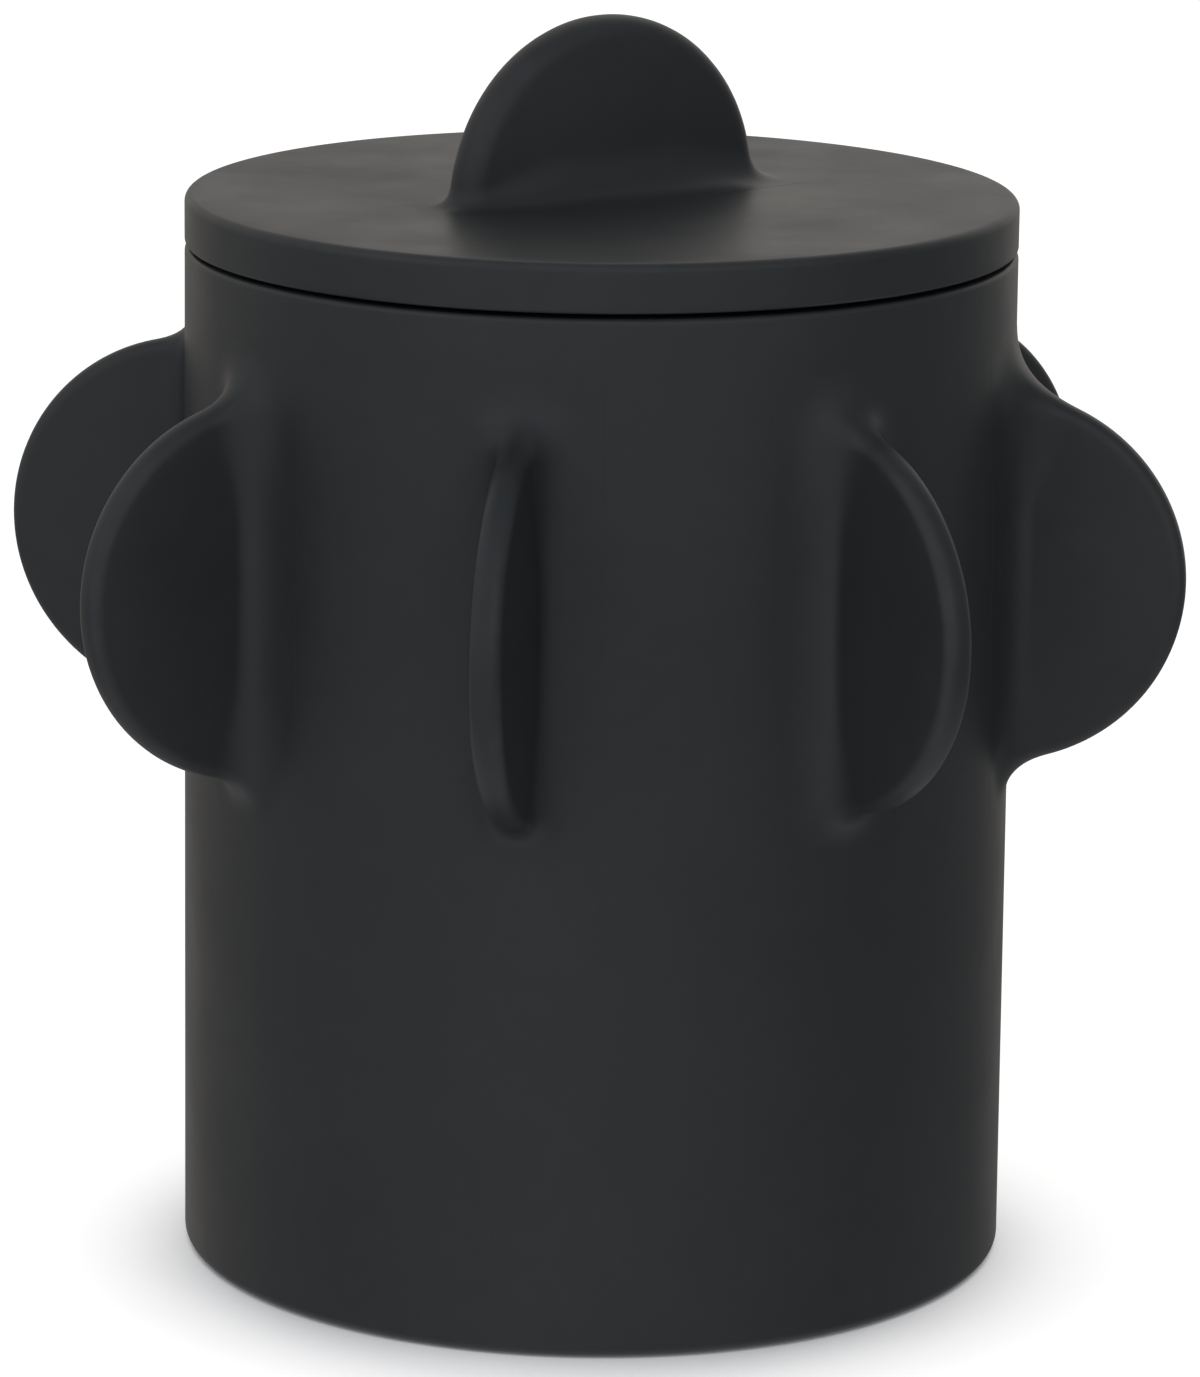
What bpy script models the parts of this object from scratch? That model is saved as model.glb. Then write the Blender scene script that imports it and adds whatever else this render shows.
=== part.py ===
"""A lidded sugar bowl in matte black stoneware, modelled as the clay pieces that it is made of.

The bowl is a cylinder wall with a floor disc set inside it and eight half-disc fins luted round
its shoulder. The lid is a flat disc with a locating ring below and a half-disc handle above. It
lifts straight off, and it turns freely on the rim.

Frame: metres, +Z up. The origin is on the axis, level with the surface that the bowl stands on.
fin_1 points to -X, and the others follow anticlockwise seen from above: fin_3 points to -Y,
fin_5 to +X and fin_7 to +Y. The handle lies close to the line of fin_2 and fin_6.
"""

import math

import bmesh
import bpy

MM = 0.001

# Heights and radii of the whole object.
FOOT_RADIUS = 38.0 * MM
RIM_RADIUS = 37.75 * MM  # the wall leans in a little
RIM_HEIGHT = 93.2 * MM
LID_TOP_HEIGHT = 98.0 * MM
CLAY_GAP = 0.3 * MM  # between pieces that meet face to face

# Wall.
INNER_RADIUS = 34.3 * MM
RIM_ROUND = 0.5 * MM
FOOT_ROUND = 1.0 * MM
INNER_FOOT_ROUND = 0.4 * MM

# Floor disc, raised so that the bowl stands on the wall's lower edge.
FOOT_RECESS = 0.8 * MM
FLOOR_THICKNESS = 4.0 * MM
FLOOR_RADIUS = INNER_RADIUS - CLAY_GAP
FLOOR_ROUND = 0.3 * MM

# Fins. Each is a disc whose centre lies about at the wall's surface, so half of it shows. Its
# root sweeps out to meet the wall, more gently above than below.
FIN_COUNT = 8
FIRST_FIN_TURN = math.pi
FIN_DISC_RADIUS = 17.15 * MM
FIN_CENTRE_RADIUS = 37.4 * MM
FIN_CENTRE_HEIGHT = 65.7 * MM
FIN_THICKNESS = 3.1 * MM
FIN_UPPER_FILLET = 5.0 * MM
FIN_LOWER_FILLET = 4.2 * MM
# The fins are set by hand, so some sit higher, lower, further out or further in than the rest,
# or are blended in with more clay or less.
FIN_RISE = {1: 0.2 * MM, 5: -1.35 * MM, 6: 0.4 * MM}
FIN_SHIFT_OUT = {1: 0.6 * MM, 5: -0.6 * MM, 6: 0.4 * MM}
FIN_UPPER_FILLETS = {1: 4.0 * MM, 5: 6.5 * MM}

# Lid.
LID_RADIUS = 37.75 * MM
LID_ROUND = 0.6 * MM
RING_CLEARANCE = 0.6 * MM
RING_THICKNESS = 3.2 * MM
RING_DEPTH = 6.0 * MM
RING_ROUND = 0.5 * MM
HANDLE_DISC_RADIUS = 16.4 * MM
HANDLE_CENTRE_INSET = 0.25 * MM
HANDLE_THICKNESS = 4.4 * MM
HANDLE_FILLETS = (3.0 * MM, 2.0 * MM)  # at its end between +X and +Y, and at the other end
HANDLE_TURN = math.radians(47)

# Finishes: colour, roughness and metallic value.
OUTER_GLAZE = ((0.036, 0.0365, 0.037), 0.42, 0.0)
INNER_GLAZE = ((0.034, 0.0345, 0.035), 0.35, 0.0)

# Facets.
TURN_STEPS = 80
ROUND_STEPS = 3
DISC_ARC_STEPS = 32
FILLET_ARC_STEPS = 6

MERGE_DISTANCE = 0.01 * MM
SMOOTH_ANGLE = math.radians(30)
BEVEL_ANGLE = math.radians(60)


def clear_scene():
    for obj in list(bpy.data.objects):
        bpy.data.objects.remove(obj)


def make_collection(name):
    collection = bpy.data.collections.new(name)
    bpy.context.scene.collection.children.link(collection)
    return collection


def make_material(name, finish):
    colour, roughness, metallic = finish
    material = bpy.data.materials.new(name)
    material.use_nodes = True
    shader = material.node_tree.nodes["Principled BSDF"]
    shader.inputs["Base Color"].default_value = (*colour, 1.0)
    shader.inputs["Roughness"].default_value = roughness
    shader.inputs["Metallic"].default_value = metallic
    return material


def make_frame(name, height, collection, parent=None):
    """An empty on the bowl's axis, which carries the pieces that move together."""
    frame = bpy.data.objects.new(name, None)
    frame.parent = parent
    frame.location = (0.0, 0.0, height)
    collection.objects.link(frame)
    return frame


def place(name, data, finish, frame, location=(0, 0, 0), rotation=(0, 0, 0)):
    """Makes an object from a mesh or curve, at a location measured in its frame."""
    obj = bpy.data.objects.new(name, data)
    data.materials.append(make_material(f"{name}_glaze", finish))
    obj.parent = frame
    obj.location = location
    obj.rotation_euler = rotation
    frame.users_collection[0].objects.link(obj)
    return obj


def arc(centre, radius, start, end, steps):
    """Points along a circular arc, both ends included. Angles are in degrees."""
    angles = [math.radians(start + (end - start) * i / steps) for i in range(steps + 1)]
    return [
        (centre[0] + radius * math.cos(a), centre[1] + radius * math.sin(a)) for a in angles
    ]


def corner(radius, height, inward, start):
    """A quarter turn that rounds off a corner, or the corner itself if it isn't rounded.

    inward is the (radius, height) offset from the corner to the centre of the turn.
    """
    size = abs(inward[0])
    if size == 0.0:
        return [(radius, height)]
    centre = (radius + inward[0], height + inward[1])
    return arc(centre, size, start, start - 90, ROUND_STEPS)


def tube_section(bottom, top, inner, outer_bottom, outer_top, rounds):
    """Closed section of a tube, as (radius, height), down its outer side and up its inner side.

    rounds holds the edge radii: outer top, outer bottom, inner bottom, inner top.
    """
    return [
        *corner(outer_top, top, (-rounds[0], -rounds[0]), 90),
        *corner(outer_bottom, bottom, (-rounds[1], rounds[1]), 0),
        *corner(inner, bottom, (rounds[2], rounds[2]), 270),
        *corner(inner, top, (rounds[3], -rounds[3]), 180),
    ]


def turned_tube(name, section, finish, frame):
    """A ring of clay: its closed section turned about Z with a Screw modifier."""
    mesh = bpy.data.meshes.new(name)
    points = [(radius, 0.0, height) for radius, height in section]
    edges = [(i, (i + 1) % len(points)) for i in range(len(points))]
    mesh.from_pydata(points, edges, [])
    obj = place(name, mesh, finish, frame)
    screw = obj.modifiers.new("Turn", "SCREW")
    screw.axis = "Z"
    screw.angle = math.tau
    screw.steps = TURN_STEPS
    screw.render_steps = TURN_STEPS
    screw.use_merge_vertices = True
    screw.merge_threshold = MERGE_DISTANCE
    screw.use_smooth_shade = True
    return obj


def flat_disc(name, radius, thickness, edge_round, finish, frame, height):
    """A round slab with eased edges. height is that of its lower face in its frame."""
    mesh = bpy.data.meshes.new(name)
    disc = bmesh.new()
    bmesh.ops.create_cone(
        disc, cap_ends=True, segments=TURN_STEPS, radius1=radius, radius2=radius, depth=thickness
    )
    bmesh.ops.translate(disc, verts=disc.verts, vec=(0.0, 0.0, thickness / 2))
    disc.to_mesh(mesh)
    disc.free()
    mesh.shade_smooth()
    mesh.set_sharp_from_angle(angle=SMOOTH_ANGLE)
    obj = place(name, mesh, finish, frame, location=(0.0, 0.0, height))
    ease = obj.modifiers.new("Eased edges", "BEVEL")
    ease.width = edge_round
    ease.segments = ROUND_STEPS
    ease.limit_method = "ANGLE"
    ease.angle_limit = BEVEL_ANGLE
    return obj


def flare(disc_radius, centre_inset, fillet):
    """One end of a half disc's root: an arc tangent to the surface and to the disc.

    Points are (out, along), from where the arc is cut off, CLAY_GAP away from the surface, to
    where it meets the disc. Also gives the disc's angle there, in degrees.
    """
    along = math.sqrt((disc_radius + fillet) ** 2 - (centre_inset + fillet) ** 2)
    meeting_angle = math.degrees(math.atan2(along, centre_inset + fillet))
    cut_angle = math.degrees(math.acos((fillet - CLAY_GAP) / fillet))
    start, end = 180 + cut_angle, 180 + meeting_angle
    return arc((fillet, along), fillet, start, end, FILLET_ARC_STEPS), meeting_angle


def half_disc_outline(disc_radius, centre_inset, upper_fillet, lower_fillet):
    """Outline of a disc that stands out of a flat surface, flared where it meets the surface.

    Points are (out, along): out is measured from the surface, along runs beside it. The disc's
    centre is centre_inset below the surface. The upper fillet is at the end where along is more.
    """
    upper, upper_angle = flare(disc_radius, centre_inset, upper_fillet)
    lower, lower_angle = flare(disc_radius, centre_inset, lower_fillet)
    disc = arc((-centre_inset, 0.0), disc_radius, upper_angle, -lower_angle, DISC_ARC_STEPS)
    return upper + disc[1:-1] + [(out, -along) for out, along in reversed(lower)]


def cut_slab(name, outline, thickness, finish, frame, location, turn):
    """An upright piece cut from a slab: a filled outline extruded to both sides.

    The outline is (across, up) in the piece's own plane, which is turned about Z.
    """
    curve = bpy.data.curves.new(name, "CURVE")
    curve.dimensions = "2D"
    curve.fill_mode = "BOTH"
    curve.extrude = thickness / 2
    spline = curve.splines.new("POLY")
    spline.points.add(len(outline) - 1)
    for point, (across, up) in zip(spline.points, outline):
        point.co = (across, up, 0.0, 1.0)
    spline.use_cyclic_u = True
    return place(name, curve, finish, frame, location, (math.pi / 2, 0.0, turn))


def wall_radius(height):
    """Radius of the wall's outer surface, which runs straight from the foot to the rim."""
    return FOOT_RADIUS + (RIM_RADIUS - FOOT_RADIUS) * height / RIM_HEIGHT


def build_bowl(collection):
    frame = make_frame("bowl_frame", 0.0, collection)
    rounds = (RIM_ROUND, FOOT_ROUND, INNER_FOOT_ROUND, RIM_ROUND)
    section = tube_section(0.0, RIM_HEIGHT, INNER_RADIUS, FOOT_RADIUS, RIM_RADIUS, rounds)
    turned_tube("bowl_wall", section, OUTER_GLAZE, frame)
    flat_disc(
        "bowl_floor", FLOOR_RADIUS, FLOOR_THICKNESS, FLOOR_ROUND, INNER_GLAZE, frame, FOOT_RECESS
    )
    for number in range(1, FIN_COUNT + 1):
        build_fin(number, frame)


def build_fin(number, frame):
    height = FIN_CENTRE_HEIGHT + FIN_RISE.get(number, 0.0)
    root_radius = wall_radius(height)
    inset = root_radius - FIN_CENTRE_RADIUS - FIN_SHIFT_OUT.get(number, 0.0)
    upper_fillet = FIN_UPPER_FILLETS.get(number, FIN_UPPER_FILLET)
    outline = half_disc_outline(FIN_DISC_RADIUS, inset, upper_fillet, FIN_LOWER_FILLET)
    upright = [(root_radius + out, along) for out, along in outline]
    turn = FIRST_FIN_TURN + math.tau * (number - 1) / FIN_COUNT
    location = (0.0, 0.0, height)
    cut_slab(f"fin_{number}", upright, FIN_THICKNESS, OUTER_GLAZE, frame, location, turn)


def build_lid(collection):
    """Both lid frames are at the height of the rim: one lifts, and the other turns within it."""
    lift_frame = make_frame("lid_lift_frame", RIM_HEIGHT, collection)
    turn_frame = make_frame("lid_turn_frame", 0.0, collection, parent=lift_frame)
    ring_outer = INNER_RADIUS - RING_CLEARANCE
    ring_inner = ring_outer - RING_THICKNESS
    rounds = (0.0, RING_ROUND, RING_ROUND, 0.0)
    section = tube_section(-RING_DEPTH, 0.0, ring_inner, ring_outer, ring_outer, rounds)
    turned_tube("lid_locating_ring", section, INNER_GLAZE, lift_frame)
    lid_top = LID_TOP_HEIGHT - RIM_HEIGHT
    plate_thickness = lid_top - CLAY_GAP
    flat_disc(
        "lid_plate", LID_RADIUS, plate_thickness, LID_ROUND, OUTER_GLAZE, turn_frame, CLAY_GAP
    )
    outline = half_disc_outline(HANDLE_DISC_RADIUS, HANDLE_CENTRE_INSET, *HANDLE_FILLETS)
    upright = [(along, out) for out, along in outline]
    location = (0.0, 0.0, lid_top)
    cut_slab(
        "lid_handle", upright, HANDLE_THICKNESS, OUTER_GLAZE, turn_frame, location, HANDLE_TURN
    )


def main():
    clear_scene()
    collection = make_collection("sugar_bowl")
    build_bowl(collection)
    build_lid(collection)


main()
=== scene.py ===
"""Looks for the lidded sugar bowl: smooth clay forms, matte black glaze, studio and camera."""

import math

import bmesh
import bpy
import numpy as np
from mathutils import Matrix, Vector


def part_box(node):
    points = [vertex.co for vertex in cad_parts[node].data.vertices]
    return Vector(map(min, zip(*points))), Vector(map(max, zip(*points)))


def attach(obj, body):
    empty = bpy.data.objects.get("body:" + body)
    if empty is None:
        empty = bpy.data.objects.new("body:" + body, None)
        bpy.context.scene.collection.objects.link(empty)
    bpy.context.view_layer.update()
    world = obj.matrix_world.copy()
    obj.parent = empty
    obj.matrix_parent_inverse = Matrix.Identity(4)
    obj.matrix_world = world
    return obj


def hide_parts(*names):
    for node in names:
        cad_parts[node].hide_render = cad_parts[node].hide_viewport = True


MM = 0.001

# Driving dimensions that the frame's boxes don't give. They repeat those of the CAD model.
RIM_LEAN = 0.25 * MM  # how much smaller the wall's radius is at the rim than at the foot
INNER_RADIUS = 34.3 * MM
RIM_ROUND = 0.5 * MM
FOOT_ROUND = 1.0 * MM
INNER_FOOT_ROUND = 0.4 * MM
CLAY_GAP = 0.3 * MM
FIN_COUNT = 8
FIN_DISC_RADIUS = 17.15 * MM
FIN_THICKNESS = 3.1 * MM
FIN_UPPER_FILLET = 5.0 * MM
FIN_UPPER_FILLETS = {1: 4.0 * MM, 5: 6.5 * MM}
FIN_LOWER_FILLET = 4.2 * MM
RING_THICKNESS = 3.2 * MM
HANDLE_DISC_RADIUS = 16.4 * MM
HANDLE_THICKNESS = 4.4 * MM
HANDLE_FILLETS = (3.0 * MM, 2.0 * MM)  # at its end between +X and +Y, and at the other end
HANDLE_TURN = math.radians(47)

# The fins and the handle are blades: half discs that grow out of a base, the wall or the lid.
# Fillets along their faces: how far each one reaches over the base, and how far up the face.
FIN_FACE_FILLET = (5.0 * MM, 2.6 * MM)
HANDLE_FACE_FILLET = (4.2 * MM, 5.0 * MM)
# Rounding of their edges, at the tip and at the two ends.
FIN_EDGE_ROUND = (1.2 * MM, 1.35 * MM)
HANDLE_EDGE_ROUND = (1.9 * MM, 1.9 * MM)
# Between these distances along a blade from its middle, in shares of its disc's radius, the
# fillets of the faces turn into those of the ends, and the tip's rounding into that of the ends.
FILLET_CHANGE = (0.35, 1.0)
EDGE_CHANGE = (0.2, 0.85)
CORNER_POWER = 2.4  # 2 makes rounds and fillets circular; more eases them into the faces
# Crown: how much further each face stands out in the middle than at the edge, and the share of
# that which lies outside the CAD slab.
FIN_CROWN = 0.7 * MM
HANDLE_CROWN = 1.2 * MM
CROWN_SHARE_OUTSIDE = 0.75
# A blade's foot stands a little proud of its base, and its border is sunk into the base.
SKIN = 0.008 * MM
BORDER_OFFSETS = (0.9 * MM, 0.5 * MM, 0.15 * MM)  # of its points, beyond the fillet
BORDER_SINK = 0.6 * MM
BLADE_OVERRUN = 1.2 * MM  # how far the mesh goes on past the ends of the fillets
FIN_FAN_DEPTH = 20 * MM  # how deep inside the base the line lies that the slices fan out from
HANDLE_FAN_DEPTH = 18 * MM
EDGE_FADE = (1 * MM, 4 * MM)  # edge values fade out where a blade is between these heights

# Turned pieces.
FLOOR_COVE = 5.0 * MM
FLOOR_LOWER_EDGE = 0.3 * MM
WALL_OVERLAP = 0.05 * MM  # of the floor and the wall
LID_UPPER_ROUND = 0.8 * MM
LID_LOWER_ROUND = 0.4 * MM
LID_WARP = 0.12 * MM
LID_WARP_TURN = math.radians(-60)  # from +X to where the warp is largest
RING_COVE = 1.0 * MM
RING_ROUND = 0.7 * MM
RING_OVERLAP = 0.02 * MM  # of the ring and the lid

# Facets.
LATHE_STEPS = 256
ROUND_STEPS = 8
LONG_STEPS = 24
MIDDLE_STEPS = 14
SHORT_STEPS = 4
BLADE_ROWS = 96
BLADE_FILLET_STEPS = 12
BLADE_FACE_STEPS = 9
BLADE_ROUND_STEPS = 6
SHARP_ANGLE = math.radians(25)
# How often a blade's surface is closed in on.
HALVINGS = 40
NEWTON_STEPS = 30

# Camera, measured from the bowl's axis and the surface that it stands on.
CAMERA_AZIMUTH = math.radians(10.14)
CAMERA_DISTANCE = 0.6018
CAMERA_HEIGHT = 0.1966
CAMERA_PITCH = math.radians(13.527)
CAMERA_ROLL = math.radians(0.652)
CAMERA_YAW = math.radians(0.029)
CAMERA_LENS_MM = 175.7
SENSOR_MM = 36.0

# Studio. Each light is a soft glow on the surroundings: its direction as degrees to the right
# of the camera's side and degrees up, the angle at which it has faded out, and its colour. The
# colours began as a least-squares match to the photograph's tones, and most were then changed.
STUDIO_LIGHTS = (
    ((-20, 18), 70, (0.325, 0.34, 0.37)),  # front window
    ((42, 15), 42, (0.255, 0.28, 0.315)),  # front right
    ((110, 10), 40, (0.09, 0.095, 0.10)),  # right panel
    ((180, 20), 60, (0.315, 0.29, 0.265)),  # back wall
    ((156, 14), 38, (0.27, 0.26, 0.25)),  # back right
    ((-90, 25), 50, (0.225, 0.245, 0.26)),  # left panel
    ((-135, 0), 50, (0.14, 0.13, 0.12)),  # back left
    ((0, 90), 70, (0.10, 0.125, 0.15)),  # ceiling
    ((0, -90), 80, (0.31, 0.31, 0.33)),  # light from the table
)
STUDIO_LEVEL = (0.084, 0.087, 0.085)  # everywhere between and beneath the lights
LIGHT_CORE = math.radians(8)  # a light is at its full strength within this angle

# Floor, which glows evenly except in the contact shadow round the bowl.
FLOOR_HALF_WIDTH = 8.0
FLOOR_DROP = 0.02 * MM
FLOOR_COLOUR = (0.8, 0.8, 0.8, 1.0)
GLOW_COLOUR = (1.0, 0.98, 0.97, 1.0)
FLOOR_GLOW = 0.85
CONTACT_GLOW = 0.05
# The contact shadow is the share of the sky that the bowl hides, times a strength.
SHADOW_REACH = 16 * MM  # what is further off hides nothing
SHADOW_STRENGTH = 0.77  # at the foot, on average
SHADOW_UNEVENNESS = 0.42  # how much stronger it is on one side of the foot
SHADOW_TURN = math.radians(-8)  # from the camera's side to that side, to the right
SHADOW_DARKEST = 0.8  # where the glow is down to CONTACT_GLOW

UP = np.array((0.0, 0.0, 1.0))


# ---------------------------------------------------------------- meshes


def finish_mesh(name, vertices, faces, edge_values):
    """Makes an object from points and faces, facing out and smoothly shaded.

    edge_values says how much of an outside corner each point is, where the glaze colour is made
    lighter: painted highlight there, and wear.
    """
    mesh = bpy.data.meshes.new(name)
    mesh.from_pydata([tuple(v) for v in vertices], [], faces)
    work = bmesh.new()
    work.from_mesh(mesh)
    bmesh.ops.recalc_face_normals(work, faces=work.faces)
    work.to_mesh(mesh)
    work.free()
    mesh.shade_smooth()
    mesh.set_sharp_from_angle(angle=SHARP_ANGLE)
    attribute = mesh.attributes.new("edge", "FLOAT", "POINT")
    attribute.data.foreach_set("value", np.asarray(edge_values, dtype=np.float32))
    obj = bpy.data.objects.new(name, mesh)
    bpy.context.scene.collection.objects.link(obj)
    return obj


def quarter(radius, height, size, start, edge=1.0):
    """A quarter turn of points (radius, height, edge) round a corner, clockwise.

    Its centre and size are given, the angle where it starts in degrees, and its edge value.
    """
    points = []
    for i in range(ROUND_STEPS + 1):
        share = i / ROUND_STEPS
        a = math.radians(start - 90 * share)
        weight = edge * math.sin(math.pi * share)
        points.append((radius + size * math.cos(a), height + size * math.sin(a), weight))
    return points


def run(start, end, steps):
    """Points between two (radius, height) points, both left out, so long faces stay short."""
    shares = [i / steps for i in range(1, steps)]
    return [
        (start[0] + (end[0] - start[0]) * s, start[1] + (end[1] - start[1]) * s, 0.0)
        for s in shares
    ]


def lathe(name, profile, closed=True, warp=None):
    """Turns a profile of (radius, height, edge) about Z.

    A closed one makes a ring. An open one starts and ends on the axis and makes a solid. warp
    gives how far each point is then raised.
    """
    on_axis = [] if closed else [profile[0], profile[-1]]
    ring_points = profile if closed else profile[1:-1]
    radii = np.array([p[0] for p in ring_points])
    heights = np.array([p[1] for p in ring_points])
    edges = np.array([p[2] for p in ring_points])
    turns = np.arange(LATHE_STEPS) * math.tau / LATHE_STEPS
    x = np.outer(np.cos(turns), radii)
    y = np.outer(np.sin(turns), radii)
    z = np.tile(heights, (LATHE_STEPS, 1))
    if warp is not None:
        z = z + warp(x, y, z)
    vertices = np.stack([x, y, z], axis=-1).reshape(-1, 3).tolist()
    edge_values = np.tile(edges, LATHE_STEPS).tolist()
    count = len(ring_points)
    faces = []
    for i in range(LATHE_STEPS):
        a, b = i * count, (i + 1) % LATHE_STEPS * count
        last = count if closed else count - 1
        for j in range(last):
            k = (j + 1) % count
            faces.append((a + j, b + j, b + k, a + k))
    for end, j in zip(on_axis, (0, count - 1)):
        centre = len(vertices)
        vertices.append((0.0, 0.0, end[1]))
        edge_values.append(0.0)
        for i in range(LATHE_STEPS):
            faces.append((centre, i * count + j, (i + 1) % LATHE_STEPS * count + j))
    return finish_mesh(name, vertices, faces, edge_values)


def smooth_step(value, low, high):
    """0 up to the low value, 1 from the high one on, and a smooth curve between them."""
    share = np.clip((value - low) / (high - low), 0.0, 1.0)
    return share * share * (3 - 2 * share)


def corner_norm(a, b):
    """Distance from a corner in eased rounds: like the hypotenuse, but with CORNER_POWER."""
    a, b = np.maximum(a, 0), np.maximum(b, 0)
    return (a**CORNER_POWER + b**CORNER_POWER) ** (1 / CORNER_POWER)


def filleted_union(slab, ground, away, up):
    """Distance to two joined shapes, given the distance to each.

    The fillet between them reaches away over the ground and up the slab by those lengths.
    """
    a, b = slab / away, ground / up
    return (np.maximum(1, np.minimum(a, b)) - corner_norm(1 - a, 1 - b)) * np.minimum(away, up)


def round_intersection(first, second, edge_round):
    """Distance to what two shapes share, with its edge rounded."""
    a, b = first + edge_round, second + edge_round
    return corner_norm(a, b) + np.minimum(np.maximum(a, b), 0) - edge_round


def flare_end(disc_radius, inset, fillet):
    """How far along the base a half disc's root reaches, from the disc's centre."""
    return math.sqrt((disc_radius + fillet) ** 2 - (inset + fillet) ** 2)


class Blade:
    """A half-disc slab that grows out of a base surface with a rounded fillet all round.

    Local coordinates are (out, across, along). The surface is the zero level of the distance
    to the slab joined to the base by a fillet, and the mesh is a grid of slices that fan out
    from a line inside the base, each slice moved onto that surface.
    """

    def __init__(self, base, surface, centre, disc_radius, thickness, crown, edge_round, fillets):
        self.base = base
        self.surface = surface
        self.centre_out, self.centre_along = centre
        self.disc_radius = disc_radius
        self.half = thickness / 2
        self.crown = crown
        self.edge_round = edge_round
        self.upper_fillet, self.lower_fillet, self.face_fillet = fillets
        inset = surface - self.centre_out
        self.upper_end = flare_end(disc_radius, inset, self.upper_fillet)
        self.lower_end = flare_end(disc_radius, inset, self.lower_fillet)

    def fillet(self, along):
        """The fillet's reach and height, which change from those of the faces to each end's."""
        share = (along - self.centre_along) / self.disc_radius
        upper = smooth_step(share, *FILLET_CHANGE)
        lower = smooth_step(-share, *FILLET_CHANGE)
        return [
            face + (self.upper_fillet - face) * upper + (self.lower_fillet - face) * lower
            for face in self.face_fillet
        ]

    def edge(self, along):
        """The edge rounding, which changes from the tip's to the ends'."""
        share = np.abs(along - self.centre_along) / self.disc_radius
        tip, end = self.edge_round
        return tip + (end - tip) * smooth_step(share, *EDGE_CHANGE)

    def distance(self, out, across, along):
        """Distance to the slab joined to the base, negative inside."""
        from_centre = np.hypot(out - self.centre_out, along - self.centre_along)
        share = np.minimum(from_centre / self.disc_radius, 1.0)
        half = self.half + self.crown * (CROWN_SHARE_OUTSIDE - share**2)
        disc = from_centre - self.disc_radius
        slab = round_intersection(disc, np.abs(across) - half, self.edge(along))
        ground = self.base(out, across, along) - SKIN
        return filleted_union(slab, ground, *self.fillet(along))

    def slice_template(self, reach, away, up, edge_round):
        """Rough half of a slice as (across, height, edge), from its border to its tip's middle.

        reach is the height of the tip, and away and up are the size of the fillet. On a low slice
        the round and the fillet are shrunk to leave room for each other.
        """
        round_height = min(edge_round, reach * 0.3)
        foot = min(up, reach * 0.6)
        wide = self.half + away
        points = [(wide + beyond, 0.0, 0.0) for beyond in BORDER_OFFSETS]
        for i in range(BLADE_FILLET_STEPS + 1):
            a = math.pi / 2 * i / BLADE_FILLET_STEPS
            points.append((wide - away * math.sin(a), foot * (1 - math.cos(a)), 0.0))
        for i in range(1, BLADE_FACE_STEPS):
            height = foot + (reach - round_height - foot) * i / BLADE_FACE_STEPS
            points.append((self.half, height, 0.0))
        for i in range(BLADE_ROUND_STEPS + 1):
            a = math.pi / 2 * i / BLADE_ROUND_STEPS
            across = self.half - edge_round * (1 - math.cos(a))
            points.append((across, reach - round_height * (1 - math.sin(a)), math.sin(2 * a)))
        points.append(((self.half - edge_round) * 0.3, reach, 0.0))
        return points

    def mesh(self, depth):
        """Grid of points (rows, columns, 3) in local coordinates, and its edge values."""
        start = self.surface - depth
        top = math.atan2(self.upper_end + BLADE_OVERRUN, depth)
        bottom = math.atan2(self.lower_end + BLADE_OVERRUN, depth)
        rows, edge_rows = [], []
        for angle in np.linspace(-bottom, top, BLADE_ROWS):
            c, s = math.cos(angle), math.sin(angle)

            def at(across, length, c=c, s=s):
                return start + length * c, across, self.centre_along + length * s

            ground, tip = depth / c - SKIN, self.hit(at, depth / c)
            root = self.centre_along + depth / c * s
            away, up = (float(value) for value in self.fillet(root))
            edge_round = float(self.edge(self.centre_along + tip * s))
            half = self.slice_template(max(tip - ground, 0.0), away, up, edge_round)
            other = half[::-1]
            across = np.array([p[0] for p in half] + [-p[0] for p in other])
            length = ground + np.array([p[1] for p in half + other])
            fade = smooth_step(tip - ground, *EDGE_FADE)
            edges = np.array([p[2] for p in half + other]) * fade
            across, length = self.settle(at, across, length)
            rows.append(np.stack(at(across, length), axis=-1))
            edge_rows.append(edges)
        return self.with_sunk_border(np.array(rows)), np.array(edge_rows)

    def hit(self, at, near):
        """Length along a slice's middle at which the surface lies, by bisection.

        It is looked for from just inside the base, which is near, to well outside the disc.
        """
        low, high = near - 0.5 * MM, near + self.disc_radius * 1.6
        for _ in range(HALVINGS):
            middle = (low + high) / 2
            if self.distance(*at(0.0, middle)) < 0:
                low = middle
            else:
                high = middle
        return (low + high) / 2

    def settle(self, at, across, length):
        """Moves a slice's points onto the surface, within the slice, by damped Newton steps.

        Points of the border only move up or down.
        """
        step, damping, least_steepness = 1e-6, 0.8, 0.05
        border = len(BORDER_OFFSETS)
        pinned = np.zeros(len(across), dtype=bool)
        pinned[:border] = pinned[-border:] = True
        for _ in range(NEWTON_STEPS):
            value = self.distance(*at(across, length))
            by_across = (self.distance(*at(across + step, length)) - value) / step
            by_length = (self.distance(*at(across, length + step)) - value) / step
            by_across = np.where(pinned, 0.0, by_across)
            steepness = np.maximum(by_across**2 + by_length**2, least_steepness)
            across = across - damping * value * by_across / steepness
            length = length - damping * value * by_length / steepness
        return across, length

    def with_sunk_border(self, grid):
        border = np.zeros(grid.shape[:2], dtype=bool)
        border[0] = border[-1] = True
        border[:, 0] = border[:, -1] = True
        grid[..., 0] = np.where(border, grid[..., 0] - BORDER_SINK, grid[..., 0])
        return grid


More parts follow.
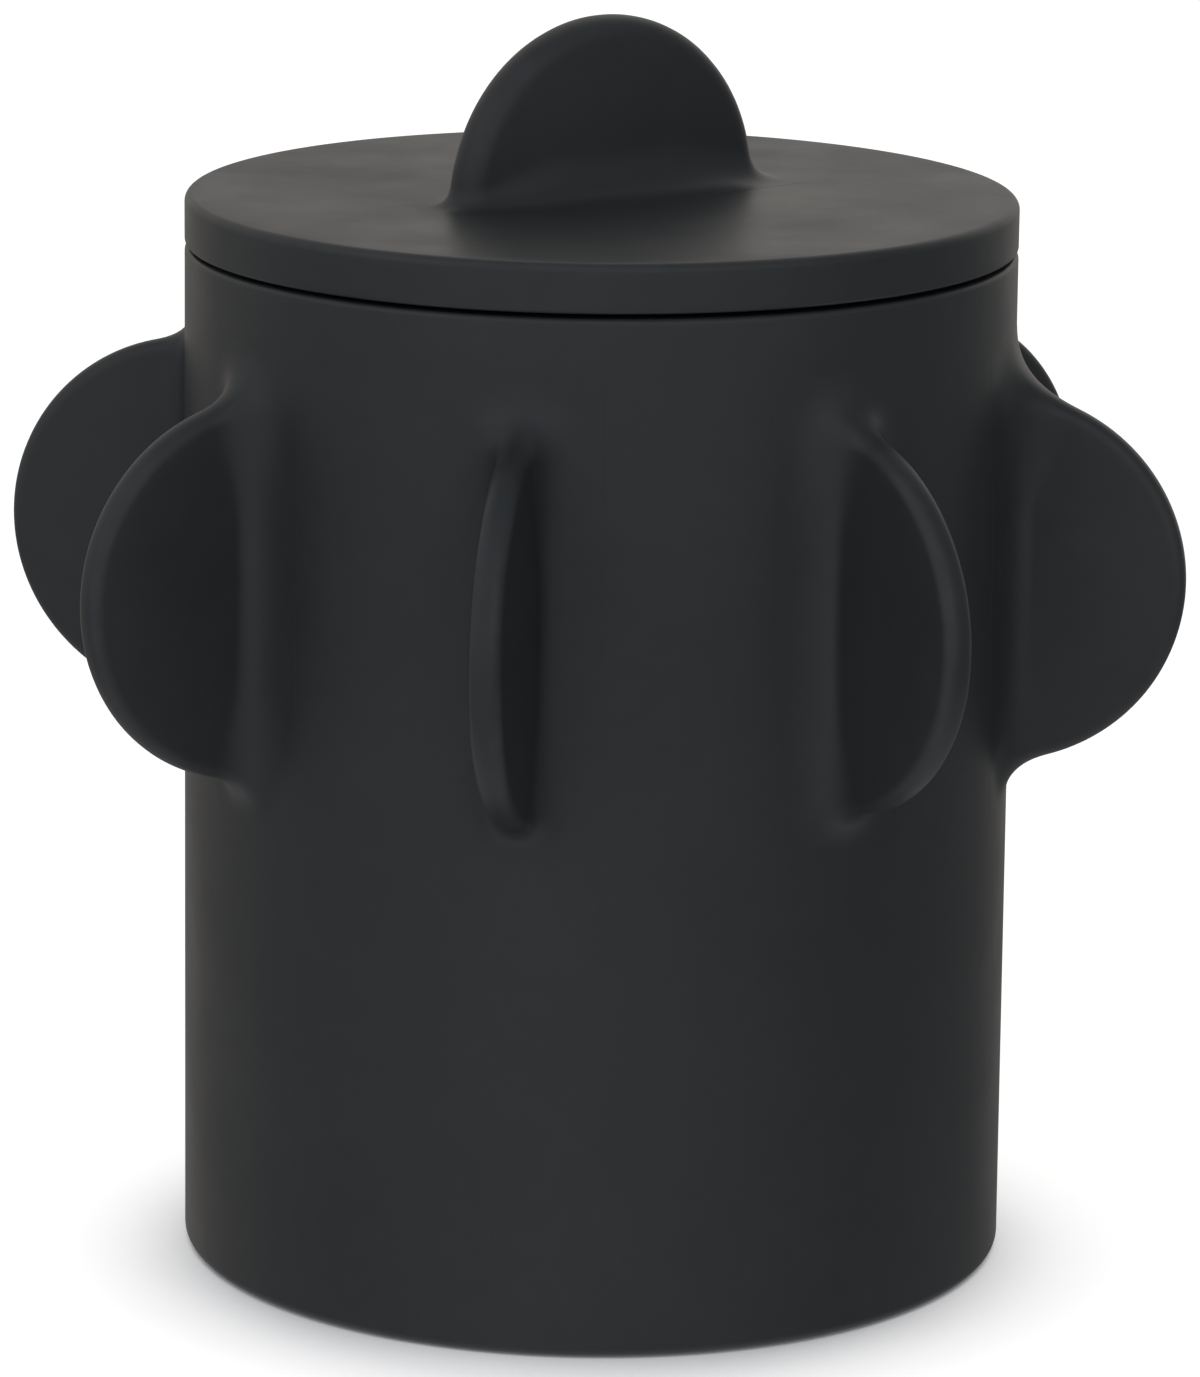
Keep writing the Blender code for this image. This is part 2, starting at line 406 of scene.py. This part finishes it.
def blade_object(name, blade, depth, outward, sideways, lengthways):
    """Makes the mesh of a Blade, closed behind by a strip that lies inside the base.

    The last three are the world directions of its local coordinates.
    """
    grid, edges = blade.mesh(depth)
    rows, columns = grid.shape[:2]
    out, across, along = grid.reshape(-1, 3).T
    vertices = np.outer(out, outward) + np.outer(across, sideways) + np.outer(along, lengthways)
    faces = []
    for i in range(rows - 1):
        a, b = i * columns, (i + 1) * columns
        for j in range(columns - 1):
            faces.append((a + j, a + j + 1, b + j + 1, b + j))
        faces.append((a, b, b + columns - 1, a + columns - 1))
    faces.append(tuple(range(columns)))
    faces.append(tuple((rows - 1) * columns + j for j in range(columns)))
    return finish_mesh(name, vertices, faces, edges.reshape(-1))


# ---------------------------------------------------------------- materials


def node(tree, kind, **values):
    """Adds a node. Names in values are its properties, or its inputs when they start in_."""
    made = tree.nodes.new(kind)
    for key, value in values.items():
        if key.startswith("in_"):
            made.inputs[key[3:].replace("_", " ")].default_value = value
        else:
            setattr(made, key, value)
    return made


def feed(tree, socket, value):
    """Gives an input socket a value, or links it when the value is another node's output."""
    if isinstance(value, (tuple, float)):
        socket.default_value = value
    else:
        tree.links.new(value, socket)


def noise(tree, place, scale, detail=4.0):
    """Cloudy values about 0.5. The scale is in clouds to the metre."""
    made = node(
        tree, "ShaderNodeTexNoise", in_Scale=scale, in_Detail=detail, in_Roughness=0.55
    )
    tree.links.new(place, made.inputs["Vector"])
    return made.outputs["Fac"]


def remap(tree, value, low, high, to_low, to_high, interpolation="LINEAR"):
    made = node(
        tree,
        "ShaderNodeMapRange",
        interpolation_type=interpolation,
        in_From_Min=low,
        in_From_Max=high,
        in_To_Min=to_low,
        in_To_Max=to_high,
    )
    tree.links.new(value, made.inputs["Value"])
    return made.outputs["Result"]


def mix_colour(tree, share, first, second):
    """Mixes two colours. 6 and 7 are the colour sockets of a Mix node, and 2 is its output."""
    made = node(tree, "ShaderNodeMix", data_type="RGBA")
    for socket, value in ((0, share), (6, first), (7, second)):
        feed(tree, made.inputs[socket], value)
    return made.outputs[2]


def maths(tree, operation, first, second):
    made = node(tree, "ShaderNodeMath", operation=operation)
    for socket, value in zip(made.inputs, (first, second)):
        feed(tree, socket, value)
    return made.outputs[0]


def dot(tree, vector, fixed):
    """How far a vector points along a fixed direction."""
    made = node(tree, "ShaderNodeVectorMath", operation="DOT_PRODUCT")
    tree.links.new(vector, made.inputs[0])
    made.inputs[1].default_value = fixed
    return made.outputs["Value"]


def bump(tree, height, distance, before=None):
    made = node(tree, "ShaderNodeBump", in_Strength=1.0, in_Distance=distance)
    tree.links.new(height, made.inputs["Height"])
    if before is not None:
        tree.links.new(before, made.inputs["Normal"])
    return made.outputs["Normal"]


def glaze_colour(tree, place, dark, light, edge_highlight_and_wear_colour):
    """A tone that drifts and mottles between dark and light, and is lighter on the edges: painted
    highlight there, and wear.
    """
    drift = maths(tree, "MULTIPLY", noise(tree, place, 38.0, detail=3.0), 0.6)
    mottle = maths(tree, "MULTIPLY", noise(tree, place, 420.0, detail=5.0), 0.4)
    tone = remap(tree, maths(tree, "ADD", drift, mottle), 0.35, 0.65, 0.0, 1.0)
    body_colour = mix_colour(tree, tone, dark, light)
    edge = node(tree, "ShaderNodeAttribute", attribute_name="edge").outputs["Fac"]
    patches = remap(tree, noise(tree, place, 260.0), 0.35, 0.7, 0.25, 1.0)
    # Edges are made lighter in colour: painted highlight on the rounded rims, and wear.
    edge_highlight_and_wear = maths(tree, "MULTIPLY", maths(tree, "MULTIPLY", edge, patches), 0.55)
    return mix_colour(tree, edge_highlight_and_wear, body_colour, edge_highlight_and_wear_colour)


def glaze_relief(tree, place, grain):
    """A slow swell, an orange-peel surface and a fine grain. Heights are in metres."""
    swell = bump(tree, noise(tree, place, 60.0, detail=2.0), 0.05 * MM)
    peel = bump(tree, noise(tree, place, 700.0, detail=2.0), 0.006 * MM * grain, swell)
    return bump(tree, noise(tree, place, 3200.0, detail=3.0), 0.003 * MM * grain, peel)


def glaze_material(name, dark, light, edge_highlight_and_wear_colour, roughness, grain):
    """A matte glaze over dark clay: drifting tone and sheen, fine grain, and a lighter colour on
    the edges, which is painted highlight and wear.
    """
    material = bpy.data.materials.new(name)
    material.use_nodes = True
    tree = material.node_tree
    shader = tree.nodes["Principled BSDF"]
    place = node(tree, "ShaderNodeTexCoord").outputs["Object"]
    colour = glaze_colour(tree, place, dark, light, edge_highlight_and_wear_colour)
    sheen = remap(tree, noise(tree, place, 95.0), 0.3, 0.7, roughness - 0.04, roughness + 0.05)
    tree.links.new(colour, shader.inputs["Base Color"])
    tree.links.new(sheen, shader.inputs["Roughness"])
    tree.links.new(glaze_relief(tree, place, grain), shader.inputs["Normal"])
    shader.inputs["IOR"].default_value = 1.5
    return material


def contact_shadow(tree, foot_radius):
    """How strong the shadow is: stronger near the foot, and in front of the bowl."""
    near = node(tree, "ShaderNodeAmbientOcclusion", samples=4, in_Distance=SHADOW_REACH)
    hidden = maths(tree, "SUBTRACT", 1.0, near.outputs["AO"])
    turn = CAMERA_AZIMUTH + SHADOW_TURN
    place = node(tree, "ShaderNodeTexCoord").outputs["Object"]
    offset = dot(tree, place, (math.sin(turn), -math.cos(turn), 0.0))
    uneven = maths(tree, "MULTIPLY", offset, SHADOW_UNEVENNESS / foot_radius)
    strength = maths(tree, "ADD", uneven, SHADOW_STRENGTH)
    return maths(tree, "MULTIPLY", hidden, strength)


def floor_material(foot_radius):
    """A white ground that glows, and darkens close to what stands on it."""
    material = bpy.data.materials.new("studio_floor")
    material.use_nodes = True
    tree = material.node_tree
    shader = tree.nodes["Principled BSDF"]
    shader.inputs["Base Color"].default_value = FLOOR_COLOUR
    shader.inputs["Roughness"].default_value = 1.0
    shader.inputs["Specular IOR Level"].default_value = 0.0
    shader.inputs["Emission Color"].default_value = GLOW_COLOUR
    shadow = contact_shadow(tree, foot_radius)
    glow = remap(tree, shadow, 0.0, SHADOW_DARKEST, FLOOR_GLOW, CONTACT_GLOW, "SMOOTHSTEP")
    tree.links.new(glow, shader.inputs["Emission Strength"])
    return material


# ---------------------------------------------------------------- the bowl


def place_piece(obj, material, body, replaced):
    obj.data.materials.append(material)
    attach(obj, body)
    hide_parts(replaced)


def wall_radius(height, foot_radius, rim_height):
    """Radius of the wall's outer surface, which runs straight from the foot to the rim."""
    return foot_radius - RIM_LEAN * height / rim_height


def make_wall(outer):
    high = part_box("bowl_wall")[1]
    foot, top = high.x, high.z
    rim = foot - RIM_LEAN
    profile = [
        *quarter(rim - RIM_ROUND, top - RIM_ROUND, RIM_ROUND, 90),
        *run((rim, top - RIM_ROUND), (foot, FOOT_ROUND), LONG_STEPS),
        *quarter(foot - FOOT_ROUND, FOOT_ROUND, FOOT_ROUND, 0, edge=0.6),
        *quarter(
            INNER_RADIUS + INNER_FOOT_ROUND, INNER_FOOT_ROUND, INNER_FOOT_ROUND, 270, edge=0.4
        ),
        *run((INNER_RADIUS, INNER_FOOT_ROUND), (INNER_RADIUS, top - RIM_ROUND), LONG_STEPS),
        *quarter(INNER_RADIUS + RIM_ROUND, top - RIM_ROUND, RIM_ROUND, 180),
    ]
    place_piece(lathe("bowl_body_wall", profile), outer, "bowl", "bowl_wall")


def make_floor(inner):
    """The floor, which runs into the wall in a cove and ends a little inside it."""
    low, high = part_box("bowl_floor")
    meets = INNER_RADIUS + WALL_OVERLAP
    underside = INNER_RADIUS - WALL_OVERLAP
    cove_radius, cove_height = INNER_RADIUS - FLOOR_COVE, high.z + FLOOR_COVE
    cove = [
        (cove_radius + FLOOR_COVE * math.sin(a), cove_height - FLOOR_COVE * math.cos(a), 0.0)
        for a in np.linspace(0.0, math.pi / 2, MIDDLE_STEPS)
    ]
    profile = [
        (0.0, high.z, 0.0),
        *run((0.0, high.z), (cove_radius, high.z), MIDDLE_STEPS),
        *cove,
        (meets, cove_height, 0.0),
        (meets, low.z + FLOOR_LOWER_EDGE, 0.0),
        (underside, low.z, 0.0),
        *run((underside, low.z), (0.0, low.z), MIDDLE_STEPS),
        (0.0, low.z, 0.0),
    ]
    piece = lathe("bowl_body_floor", profile, closed=False)
    place_piece(piece, inner, "bowl", "bowl_floor")


def make_fin(number, outer):
    """A fin, placed by the box of its CAD slab, which is cut off CLAY_GAP away from the wall."""
    wall_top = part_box("bowl_wall")[1]
    foot, rim_height = wall_top.x, wall_top.z
    low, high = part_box(f"fin_{number}")
    turn = math.pi + math.tau * (number - 1) / FIN_COUNT
    reach = max(abs(v) for v in (low.x, high.x, low.y, high.y))
    if number % 2 == 0:  # these point between the axes, so their box shows reach and thickness
        reach = reach / math.sqrt(0.5) - FIN_THICKNESS / 2
    surface = wall_radius((low.z + high.z) / 2, foot, rim_height)
    centre_out = reach - FIN_DISC_RADIUS
    upper_fillet = FIN_UPPER_FILLETS.get(number, FIN_UPPER_FILLET)
    end = flare_end(FIN_DISC_RADIUS, surface - centre_out, upper_fillet)
    cut_off = math.sqrt(upper_fillet**2 - (upper_fillet - CLAY_GAP) ** 2)

    def from_wall(out, across, along):
        return np.hypot(out, across) - wall_radius(along, foot, rim_height)

    blade = Blade(
        base=from_wall,
        surface=surface,
        centre=(centre_out, high.z - end + cut_off),
        disc_radius=FIN_DISC_RADIUS,
        thickness=FIN_THICKNESS,
        crown=FIN_CROWN,
        edge_round=FIN_EDGE_ROUND,
        fillets=(upper_fillet, FIN_LOWER_FILLET, FIN_FACE_FILLET),
    )
    outward = np.array((math.cos(turn), math.sin(turn), 0.0))
    sideways = np.array((-math.sin(turn), math.cos(turn), 0.0))
    piece = blade_object(f"fin_{number}_blade", blade, FIN_FAN_DEPTH, outward, sideways, UP)
    place_piece(piece, outer, "bowl", f"fin_{number}")


def lid_warp(x, y, z):
    """The lid's underside lifts a little on one side, as a fired disc does."""
    low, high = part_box("lid_plate")
    share = np.clip((high.z - z) / (high.z - low.z), 0.0, 1.0)
    tilt = (x * math.cos(LID_WARP_TURN) + y * math.sin(LID_WARP_TURN)) / high.x
    return share * LID_WARP * np.maximum(tilt, 0.0)


def make_lid_disc(outer):
    low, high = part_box("lid_plate")
    radius = high.x
    upper, lower = LID_UPPER_ROUND, LID_LOWER_ROUND
    profile = [
        (0.0, high.z, 0.0),
        *run((0.0, high.z), (radius - upper, high.z), LONG_STEPS),
        *quarter(radius - upper, high.z - upper, upper, 90),
        *run((radius, high.z - upper), (radius, low.z + lower), SHORT_STEPS),
        *quarter(radius - lower, low.z + lower, lower, 0, edge=0.5),
        *run((radius - lower, low.z), (0.0, low.z), LONG_STEPS),
        (0.0, low.z, 0.0),
    ]
    piece = lathe("lid_disc", profile, closed=False, warp=lid_warp)
    place_piece(piece, outer, "lid_top", "lid_plate")


def ring_cove(radius, outwards, height):
    """Points that sweep from the lid's underside down to the ring's side."""
    return [
        (
            radius + outwards * RING_COVE * (1 - math.sin(a)),
            height - RING_COVE * (1 - math.cos(a)),
            0.0,
        )
        for a in np.linspace(0.0, math.pi / 2, ROUND_STEPS)
    ]


def make_ring(inner):
    """The locating ring, which starts a little inside the lid's underside."""
    low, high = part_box("lid_locating_ring")
    ring_outer = high.x
    ring_inner = ring_outer - RING_THICKNESS
    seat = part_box("lid_plate")[0].z + RING_OVERLAP
    side_top, side_bottom = seat - RING_COVE, low.z + RING_ROUND
    profile = [
        *ring_cove(ring_outer, 1, seat),
        *run((ring_outer, side_top), (ring_outer, side_bottom), SHORT_STEPS),
        *quarter(ring_outer - RING_ROUND, side_bottom, RING_ROUND, 0),
        *quarter(ring_inner + RING_ROUND, side_bottom, RING_ROUND, 270),
        *run((ring_inner, side_bottom), (ring_inner, side_top), SHORT_STEPS),
        *reversed(ring_cove(ring_inner, -1, seat)),
    ]
    place_piece(
        lathe("lid_ring", profile), inner, "lid_ring", "lid_locating_ring"
    )


def make_handle(outer):
    lid_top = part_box("lid_plate")[1].z
    handle_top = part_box("lid_handle")[1].z
    blade = Blade(
        base=lambda out, across, along: out - lid_top,
        surface=lid_top,
        centre=(handle_top - HANDLE_DISC_RADIUS, 0.0),
        disc_radius=HANDLE_DISC_RADIUS,
        thickness=HANDLE_THICKNESS,
        crown=HANDLE_CROWN,
        edge_round=HANDLE_EDGE_ROUND,
        fillets=(*HANDLE_FILLETS, HANDLE_FACE_FILLET),
    )
    lengthways = np.array((math.cos(HANDLE_TURN), math.sin(HANDLE_TURN), 0.0))
    sideways = np.array((-math.sin(HANDLE_TURN), math.cos(HANDLE_TURN), 0.0))
    piece = blade_object("lid_grip", blade, HANDLE_FAN_DEPTH, UP, sideways, lengthways)
    place_piece(piece, outer, "lid_top", "lid_handle")


def make_bowl_and_lid(outer, inner):
    make_wall(outer)
    make_floor(inner)
    for number in range(1, FIN_COUNT + 1):
        make_fin(number, outer)
    make_lid_disc(outer)
    make_ring(inner)
    make_handle(outer)


# ---------------------------------------------------------------- studio


def make_stage():
    mesh = bpy.data.meshes.new("studio_floor")
    corners = [(x, y, 0.0) for x, y in ((-1, -1), (1, -1), (1, 1), (-1, 1))]
    mesh.from_pydata([Vector(corner) * FLOOR_HALF_WIDTH for corner in corners], [], [(0, 1, 2, 3)])
    floor = bpy.data.objects.new("studio_floor", mesh)
    floor.location.z = -FLOOR_DROP
    floor.visible_glossy = False
    floor.visible_diffuse = False
    foot_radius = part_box("bowl_wall")[1].x
    mesh.materials.append(floor_material(foot_radius))
    bpy.context.scene.collection.objects.link(floor)


def studio_light(tree, direction, towards, spread, colour):
    """A soft glow: its colour within LIGHT_CORE of its direction, faded out at its spread."""
    turn, rise = CAMERA_AZIMUTH + math.radians(towards[0]), math.radians(towards[1])
    level = math.cos(rise)
    facing = dot(
        tree, direction, (math.sin(turn) * level, -math.cos(turn) * level, math.sin(rise))
    )
    faded, full = math.cos(math.radians(spread)), math.cos(LIGHT_CORE)
    share = remap(tree, facing, faded, full, 0.0, 1.0, "SMOOTHSTEP")
    glow = node(tree, "ShaderNodeVectorMath", operation="SCALE")
    glow.inputs[0].default_value = colour
    tree.links.new(share, glow.inputs["Scale"])
    return glow.outputs[0]


def make_world():
    """Surroundings of a low even level, with the studio lights as soft glows on them."""
    world = bpy.data.worlds.new("studio")
    bpy.context.scene.world = world
    world.use_nodes = True
    tree = world.node_tree
    direction = node(tree, "ShaderNodeTexCoord").outputs["Generated"]
    total = STUDIO_LEVEL
    for towards, spread, colour in STUDIO_LIGHTS:
        add = node(tree, "ShaderNodeVectorMath", operation="ADD")
        feed(tree, add.inputs[0], studio_light(tree, direction, towards, spread, colour))
        feed(tree, add.inputs[1], total)
        total = add.outputs[0]
    tree.links.new(total, tree.nodes["Background"].inputs["Color"])


def make_camera():
    around = Matrix.Rotation(CAMERA_AZIMUTH, 4, "Z")
    level = Vector((math.sin(CAMERA_YAW), math.cos(CAMERA_YAW), 0.0))
    forward = level * math.cos(CAMERA_PITCH) - Vector((0.0, 0.0, math.sin(CAMERA_PITCH)))
    right = Vector((level.y, -level.x, 0.0))
    up = right.cross(forward)
    tilted_right = right * math.cos(CAMERA_ROLL) + up * math.sin(CAMERA_ROLL)
    tilted_up = up * math.cos(CAMERA_ROLL) - right * math.sin(CAMERA_ROLL)
    turn = Matrix((tilted_right, tilted_up, -forward)).transposed().to_4x4()
    data = bpy.data.cameras.new("camera")
    data.lens = CAMERA_LENS_MM
    data.sensor_width = SENSOR_MM
    camera = bpy.data.objects.new("camera", data)
    stand = Matrix.Translation((0.0, -CAMERA_DISTANCE, CAMERA_HEIGHT))
    camera.matrix_world = around @ stand @ turn
    bpy.context.scene.collection.objects.link(camera)
    bpy.context.scene.camera = camera


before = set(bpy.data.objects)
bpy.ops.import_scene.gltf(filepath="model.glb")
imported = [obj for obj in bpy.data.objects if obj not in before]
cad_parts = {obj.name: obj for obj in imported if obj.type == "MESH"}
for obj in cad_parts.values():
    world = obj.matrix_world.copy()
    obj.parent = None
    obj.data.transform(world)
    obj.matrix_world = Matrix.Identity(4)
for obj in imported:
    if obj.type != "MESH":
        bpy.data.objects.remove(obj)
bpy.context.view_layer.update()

outer_glaze = glaze_material(
    "matte_black_glaze",
    dark=(0.042, 0.0425, 0.043, 1.0),
    light=(0.050, 0.0505, 0.051, 1.0),
    # lighter colour on the edges: painted highlight, and wear
    edge_highlight_and_wear_colour=(0.076, 0.075, 0.074, 1.0),
    roughness=0.40,
    grain=1.0,
)
inner_glaze = glaze_material(
    "satin_black_liner",
    dark=(0.039, 0.0395, 0.040, 1.0),
    light=(0.046, 0.0465, 0.047, 1.0),
    # lighter colour on the edges: painted highlight, and wear
    edge_highlight_and_wear_colour=(0.070, 0.069, 0.068, 1.0),
    roughness=0.34,
    grain=0.7,
)
make_bowl_and_lid(outer_glaze, inner_glaze)
make_stage()
make_world()
make_camera()
bpy.context.scene.view_settings.view_transform = "Standard"

bpy.context.view_layer.update()
